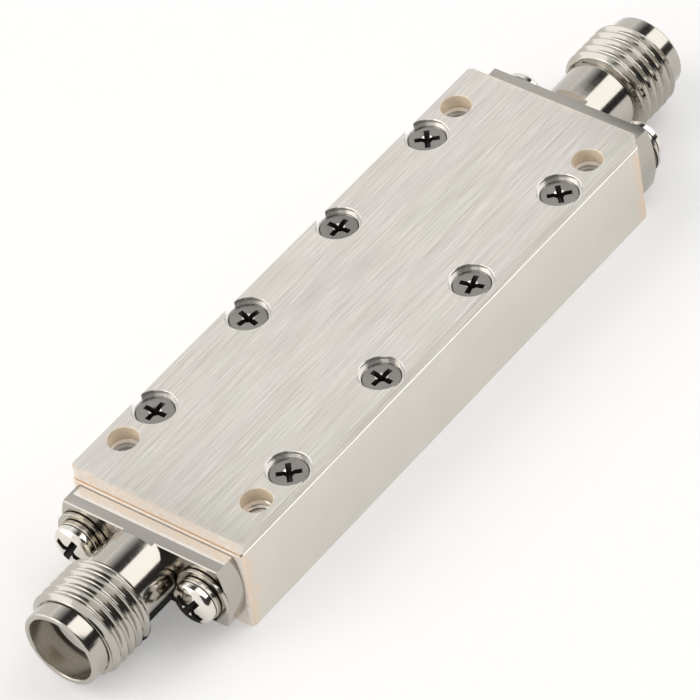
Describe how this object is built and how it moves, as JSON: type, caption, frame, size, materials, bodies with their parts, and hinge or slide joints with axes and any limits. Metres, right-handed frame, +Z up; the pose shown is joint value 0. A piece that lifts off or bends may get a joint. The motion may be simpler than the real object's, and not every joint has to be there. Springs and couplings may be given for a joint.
{
  "type": "rf filter",
  "caption": "Slim milled filter block with a screwed lid, corner mounting holes and a threaded coaxial socket on a screwed flange at each end.",
  "frame": {"origin": "middle of the flat underside the block rests on", "axes": "+X along the housing from port 1 to port 2, +Z up out of the lid, Y across the housing"},
  "size_m": [0.0604, 0.013, 0.007],
  "materials": {
    "plated_housing": "satin milled, silver-plated look",
    "plated_lid": "brushed along its length, silver-plated look",
    "socket_metal": "turned and polished",
    "flange_screw_steel": "polished",
    "washer_steel": "plain",
    "lid_screw_steel": "dull",
    "insulator": "waxy white",
    "contact_metal": "gold-plated look",
    "board": "laminate with bare metal pads",
    "resonator_ceramic": "ceramic with a silvered skin"
  },
  "bodies": {
    "root": {"housing_body": "plated_housing", "lid": "plated_lid", "circuit_board": "board", "lid_screw_1": "lid_screw_steel", "lid_screw_2": "lid_screw_steel", "lid_screw_3": "lid_screw_steel", "lid_screw_4": "lid_screw_steel", "lid_screw_5": "lid_screw_steel", "lid_screw_6": "lid_screw_steel", "lid_screw_7": "lid_screw_steel", "lid_screw_8": "lid_screw_steel", "port1_socket": "socket_metal", "port1_insulator": "insulator", "port1_contact": "contact_metal", "port1_screw_left": "flange_screw_steel", "port1_split_washer_left": "washer_steel", "port1_flat_washer_left": "washer_steel", "port1_screw_right": "flange_screw_steel", "port1_split_washer_right": "washer_steel", "port1_flat_washer_right": "washer_steel", "port2_socket": "socket_metal", "port2_insulator": "insulator", "port2_contact": "contact_metal", "port2_screw_left": "flange_screw_steel", "port2_split_washer_left": "washer_steel", "port2_flat_washer_left": "washer_steel", "port2_screw_right": "flange_screw_steel", "port2_split_washer_right": "washer_steel", "port2_flat_washer_right": "washer_steel", "resonator_1": "resonator_ceramic", "tab_1": "contact_metal", "resonator_2": "resonator_ceramic", "tab_2": "contact_metal", "resonator_3": "resonator_ceramic", "tab_3": "contact_metal", "resonator_4": "resonator_ceramic", "tab_4": "contact_metal", "resonator_5": "resonator_ceramic", "tab_5": "contact_metal"}
  },
  "joints": []
}
